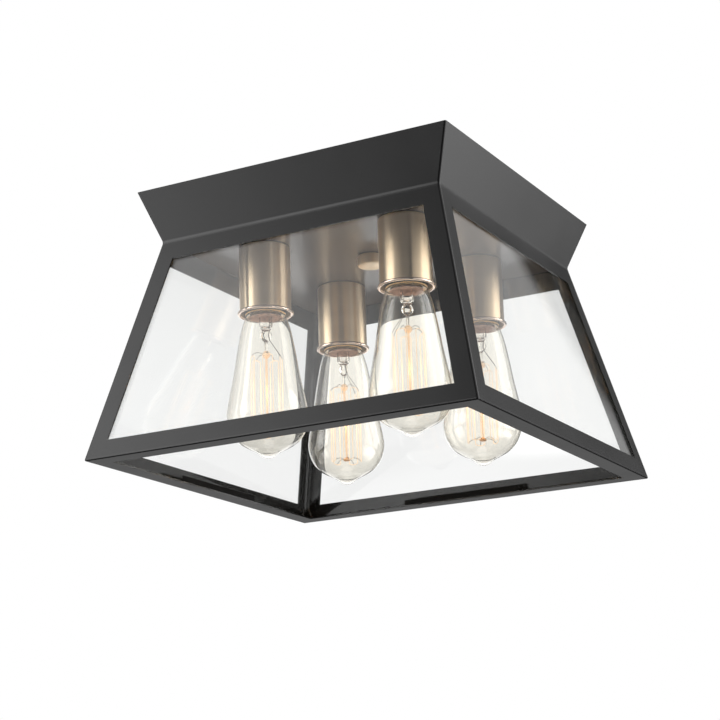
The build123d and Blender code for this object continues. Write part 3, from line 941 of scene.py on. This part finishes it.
# %% Finishes of the kept pieces
SHEATH = (0.42, 0.52)
FELT_SHEEN = 0.15
black_felt = surface("black_felt", (0.004, 0.004, 0.004), (0.007, 0.007, 0.007), (0.8, 0.9), cloud=300,
                     relief=0.4)
black_felt.node_tree.nodes["Principled BSDF"].inputs["Specular IOR Level"].default_value = FELT_SHEEN
zinc_steel = surface("zinc_steel", (0.50, 0.50, 0.48), (0.66, 0.66, 0.64), (0.28, 0.40), metal=1.0,
                     cloud=140)
green_paint = surface("green_paint", (0.020, 0.15, 0.045), (0.030, 0.20, 0.06), (0.35, 0.45), cloud=120)
black_wire = surface("black_wire", (0.010, 0.010, 0.010), (0.018, 0.018, 0.018), SHEATH, cloud=80)
white_wire = surface("white_wire", (0.66, 0.65, 0.61), (0.74, 0.73, 0.70), SHEATH, cloud=80)
wire_nut = surface("wire_nut", (0.55, 0.19, 0.025), (0.66, 0.25, 0.035), (0.38, 0.48), cloud=90)
print(len(bpy.data.materials), "materials so far")

# %% Paint the kept pieces
pipes_and_nuts = ["mounting_crossbar", "centre_nipple", "nipple_lock_nut", "socket_nipples",
                  "socket_nipple_nuts"]
kept = [
    (pane_glass, [f"glass_panel_{k}" for k in (1, 2, 3, 4)]),
    (black_felt, ["glass_keepers"]),
    (black_paint, ["glass_top_clips"]),
    (antique_brass, ["finial_washer"]),
    (lamp_brass, ["socket_screw_shells", "socket_contacts"]),
    (insulator, ["socket_bodies"]),
    (zinc_steel, pipes_and_nuts),
    (green_paint, ["ground_screw"]),
    (black_wire, ["hot_leads"]),
    (white_wire, ["neutral_leads"]),
    (wire_nut, ["hot_wire_nut", "neutral_wire_nut"]),
]
for finish, nodes in kept:
    for node in nodes:
        paint(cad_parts[node], finish)
print("kept", sum(len(nodes) for finish, nodes in kept), "CAD nodes")

# %% [markdown]
# ## Studio light
# Black paint and brass show little but what they mirror, so the light is drawn as these pieces see it: two
# tall soft boxes, left and right of the camera's line, in a dim surround. Area lamps could stand there,
# but the clear panes would show them. The world is drawn by direction instead, from a bearing round the
# upright axis and a rise above the level, both in degrees. Each stretch of it fades in and out between two
# angles.


# %% Arithmetic on directions
def calc(tree, operation, *values):
    node = add(tree, "ShaderNodeMath", {"operation": operation})
    for socket, value in zip(node.inputs, values):
        if isinstance(value, (int, float)):
            socket.default_value = value
        else:
            tree.links.new(value, socket)
    return node.outputs["Value"]


def chain(tree, operation, first, *rest):
    for value in rest:
        first = calc(tree, operation, first, value)
    return first


def product(tree, *values):
    return chain(tree, "MULTIPLY", *values)


def fade(tree, source, start, end, first=1.0, last=0.0):
    node = add(tree, "ShaderNodeMapRange", {"interpolation_type": "SMOOTHSTEP"}, To_Min=first, To_Max=last,
               From_Min=math.radians(start), From_Max=math.radians(end))
    tree.links.new(source, node.inputs["Value"])
    return node.outputs["Result"]


def away(tree, source, middle):
    return calc(tree, "ABSOLUTE", calc(tree, "SUBTRACT", source, math.radians(middle)))


print("worlds before this one:", len(bpy.data.worlds))

# %% Bearing and rise
world = bpy.data.worlds.new("studio")
bpy.context.scene.world = world
world.use_nodes = True
tree = world.node_tree
tree.nodes.clear()
ray = add(tree, "ShaderNodeTexCoord")
split = add(tree, "ShaderNodeSeparateXYZ")
tree.links.new(ray.outputs["Generated"], split.inputs["Vector"])
path = add(tree, "ShaderNodeLightPath")
singular = path.outputs["Is Singular Ray"]
bearing = calc(tree, "ARCTAN2", split.outputs["X"], calc(tree, "MULTIPLY", split.outputs["Y"], -1.0))
rise = calc(tree, "ARCSINE", split.outputs["Z"])


def across(start, end, first=1.0, last=0.0):
    return fade(world.node_tree, bearing, start, end, first, last)


def upward(start, end, first=1.0, last=0.0):
    return fade(world.node_tree, rise, start, end, first, last)


print("bearing and rise take", len(tree.nodes), "nodes")

# %% [markdown]
# The soft boxes make the bright streaks on the cups, and a skirt beside each one makes the streaks fade
# out slowly. A plain box would do, but the left one bulges at the height that the cups mirror, where the
# photograph's streak is wider. Where clear panes would mirror a box as a hard white patch, the boxes are
# dulled for such rays alone.

# %% Soft boxes
BOX_LEVEL = 2.2
off_level = away(tree, rise, 13)
bulge = fade(tree, off_level, 8, 20, math.radians(8), 0.0)
left_edge = calc(tree, "SUBTRACT", calc(tree, "MULTIPLY_ADD", rise, 0.1, bearing), bulge)
left_start = across(-79, -55, 0.0, 1.0)
left_box = product(tree, fade(tree, left_edge, -38.5, -25.5), left_start)
right_box = product(tree, across(93, 105, 0.0, 1.0), across(146, 151))
box_height = product(tree, upward(35, 47), upward(-25, -45))
dull_left = product(tree, fade(tree, away(tree, bearing, -28), 8, 14), upward(-8, -2))
dull_right = product(tree, fade(tree, away(tree, bearing, 145.5), 5, 8), upward(3, 7))
dull = product(tree, calc(tree, "MAXIMUM", dull_left, dull_right), singular)
box_level = calc(tree, "MULTIPLY_ADD", dull, -BOX_LEVEL, BOX_LEVEL)
boxes = product(tree, calc(tree, "ADD", left_box, right_box), box_height, box_level)
left_skirt = product(tree, across(-45, 8, 0.9, 0.0), left_start, fade(tree, off_level, 8, 16))
right_skirt = product(tree, across(45, 98, 0.0, 0.75), across(98, 105))
print("soft boxes at level", BOX_LEVEL)

# %% [markdown]
# The surround is dim above and darker below, darkest behind the light and round the camera, which gives
# the paint its change of tone from face to face. One grey level would leave all faces alike. A little
# light spills past the right box, and a faint pool lies low at the back.

# %% Surround
SURROUND_LOW = 0.05
SURROUND_HIGH = 0.28
POOL_LEVEL = 0.09
off_back = away(tree, calc(tree, "ABSOLUTE", bearing), 178)
surround = product(tree, upward(-50, -8, SURROUND_LOW, SURROUND_HIGH),
                   fade(tree, off_back, 10, 14.5, 0.12, 1.0),
                   fade(tree, away(tree, bearing, 27), 12, 30, 0.35, 1.0))
spill = product(tree, across(161, 169.5, 0.30, 0.0), across(130, 150, 0.0, 1.0), upward(8, 18, 0.0, 1.0))
pool_width = fade(tree, away(tree, bearing, -152), 20, 45)
pool = product(tree, pool_width, fade(tree, away(tree, rise, -16), 8, 20), POOL_LEVEL)
lit = chain(tree, "ADD", boxes, left_skirt, right_skirt, surround, spill, pool)
print("surround from", SURROUND_LOW, "to", SURROUND_HIGH)

# %% [markdown]
# Clear glass mirrors only a few hundredths of what it faces, but against a dark inside that shows as a
# veil. The panes could be given a haze, but it would not change with the view. So four soft fields of the
# world are seen only by rays that come from a smooth pane: a pale backdrop, a lighter underside, a veil on
# the right pane, and a sill that lights the back pane where it overlaps its rail.

# %% What clear glass mirrors
backdrop = product(tree, across(-176, -166, 0.0, 1.0), across(-135, -120), upward(4, 18, 1.3, 0.9))
underside = upward(-25, -8, 0.5, 0.0)
veil = product(tree, across(167.6, 168.15, 0.6, 0.0), across(150, 158, 0.0, 1.0), upward(12, 18, 0.0, 1.0))
sill = product(tree, across(-26.5, -20, 0.75, 0.33), across(-38, -33, 0.0, 1.0),
               across(-16, -8), upward(-12.8, -11.8))
mirrored = product(tree, chain(tree, "MAXIMUM", backdrop, underside, veil, sill), singular)
studio = add(tree, "ShaderNodeBackground", Color=(1, 1, 1, 1))
tree.links.new(calc(tree, "MAXIMUM", lit, mirrored), studio.inputs["Strength"])
print("mirrored fields drawn,", len(tree.nodes), "nodes")

# %% [markdown]
# The background is plain white, for the camera and for whatever is seen straight through glass. White
# lamps behind the light would do it, but they would also light the pieces. Light Path tells such rays from
# the others, and a strength of one is white. Panes dim the white slightly, and the left and right windows
# have their own small corrections.

# %% What the camera sees
PANE_DIMMING = 0.04
depth_in_glass = path.outputs["Transmission Depth"]
through_glass = path.outputs["Is Transmission Ray"]
layers = calc(tree, "MAXIMUM", calc(tree, "SUBTRACT", depth_in_glass, 4), 0)
two_panes = calc(tree, "GREATER_THAN", depth_in_glass, 3)
right_window = product(tree, across(-157.5, -154.5, 0.25, 0.0),
                       across(-178, -168, 0.0, 1.0), upward(11.9, 12.6, 0.0, 1.0))
left_window = product(tree, across(-151, -149.5, 0.0, 1.0), across(-138, -130),
                      calc(tree, "MULTIPLY_ADD", two_panes, -0.17, 0.04))
dimming = calc(tree, "MULTIPLY_ADD", layers, 0.03, -PANE_DIMMING)
change = chain(tree, "ADD", dimming, right_window, left_window)
white = add(tree, "ShaderNodeBackground", Color=(1, 1, 1, 1))
tree.links.new(calc(tree, "MULTIPLY_ADD", through_glass, change, 1.0), white.inputs["Strength"])
turns = calc(tree, "ADD", path.outputs["Glossy Depth"], path.outputs["Diffuse Depth"])
straight = calc(tree, "MULTIPLY", through_glass, calc(tree, "LESS_THAN", turns, 0.5))
seen = calc(tree, "MAXIMUM", path.outputs["Is Camera Ray"], straight)
mix = add(tree, "ShaderNodeMixShader")
out = add(tree, "ShaderNodeOutputWorld")
tree.links.new(seen, mix.inputs["Fac"])
tree.links.new(studio.outputs["Background"], mix.inputs[1])
tree.links.new(white.outputs["Background"], mix.inputs[2])
tree.links.new(mix.outputs["Shader"], out.inputs["Surface"])
print("world", len(tree.nodes), "nodes")

# %% [markdown]
# ## Warm light of the filaments
# The lit filaments warm the cups and the plate a little. The glowing mesh could give that light by itself,
# but it is thin and would leave grain. A small point lamp in each bulb gives it smoothly, and is itself
# hidden from view.

# %% Warm lamps
WARM_WATTS = 0.07
WARM_HEIGHT = -160 * MM
for number, (x, y) in LAMP_PLACES.items():
    lamp = bpy.data.lights.new(f"warm_{number}", "POINT")
    lamp.energy = WARM_WATTS
    lamp.color = (1.0, 0.72, 0.42)
    lamp.shadow_soft_size = 12 * MM
    warm = bpy.data.objects.new(f"warm_{number}", lamp)
    warm.location = (x, y, WARM_HEIGHT)
    warm.visible_camera = False
    warm.visible_transmission = False
    warm.visible_glossy = False
    bpy.context.scene.collection.objects.link(warm)
print(len(LAMP_PLACES), "warm lamps of", WARM_WATTS, "watts")

# %% [markdown]
# ## Floor
# A pale floor lies far below the light. Lit by this dim world alone it would be grey, so it gives a little
# light of its own. That light must not show in brass and black paint from below, so rays that a piece has
# mirrored or scattered pass through the floor as if it were not there. Hiding the object from such rays is
# not enough, because a ray that then crosses a pane counts as seen through glass.

# %% Floor
FLOOR_SIDE = 80
FLOOR_HEIGHT = -1.6
FLOOR_GLOW = 0.55
put_down()
bpy.ops.mesh.primitive_plane_add(size=FLOOR_SIDE, location=(0, 0, FLOOR_HEIGHT))
floor = bpy.context.object
floor.name = "floor"
floor.visible_glossy = False
floor.visible_diffuse = False
floor_finish = surface("floor", (0.78, 0.78, 0.78), (0.80, 0.80, 0.80), (0.6, 0.7), cloud=3)
tree = floor_finish.node_tree
floor_shader = tree.nodes["Principled BSDF"]
floor_shader.inputs["Emission Color"].default_value = (1, 1, 1, 1)
floor_shader.inputs["Emission Strength"].default_value = FLOOR_GLOW
path = add(tree, "ShaderNodeLightPath")
turns = calc(tree, "ADD", path.outputs["Glossy Depth"], path.outputs["Diffuse Depth"])
unseen = add(tree, "ShaderNodeBsdfTransparent")
mix = add(tree, "ShaderNodeMixShader")
tree.links.new(calc(tree, "GREATER_THAN", turns, 0.5), mix.inputs["Fac"])
tree.links.new(floor_shader.outputs["BSDF"], mix.inputs[1])
tree.links.new(unseen.outputs["BSDF"], mix.inputs[2])
tree.links.new(mix.outputs["Shader"], tree.nodes["Material Output"].inputs["Surface"])
paint(floor, floor_finish)
print("floor", FLOOR_SIDE, "metres wide at", FLOOR_HEIGHT)

# %% [markdown]
# ## Camera
# The photograph was taken from below and from the right, with a long lens and a slight roll. A camera can
# be aimed by eye, but edges then stay a few pixels off. This one was fitted to the corners of canopy and
# cage, to half a pixel.

# %% Camera
AZIMUTH = math.radians(28.256)
ELEVATION = math.radians(-15.317)
ROLL = math.radians(1.785)
LENS_LENGTH = 92.55
CAMERA_PLACE = (0.66850, -1.26924, -0.52090)
lens = bpy.data.cameras.new("camera")
lens.lens = LENS_LENGTH
lens.sensor_width = 36
lens.clip_end = 100
camera = bpy.data.objects.new("camera", lens)
camera.location = CAMERA_PLACE
camera.rotation_mode = "XYZ"
camera.rotation_euler = (math.pi / 2 - ELEVATION, 0, AZIMUTH)
bpy.context.scene.collection.objects.link(camera)
camera.rotation_euler.rotate_axis("Z", -ROLL)
bpy.context.scene.camera = camera
bpy.context.scene.view_settings.view_transform = "Standard"
print("camera at", [round(v, 3) for v in camera.location], "with a lens of", round(lens.lens, 2))
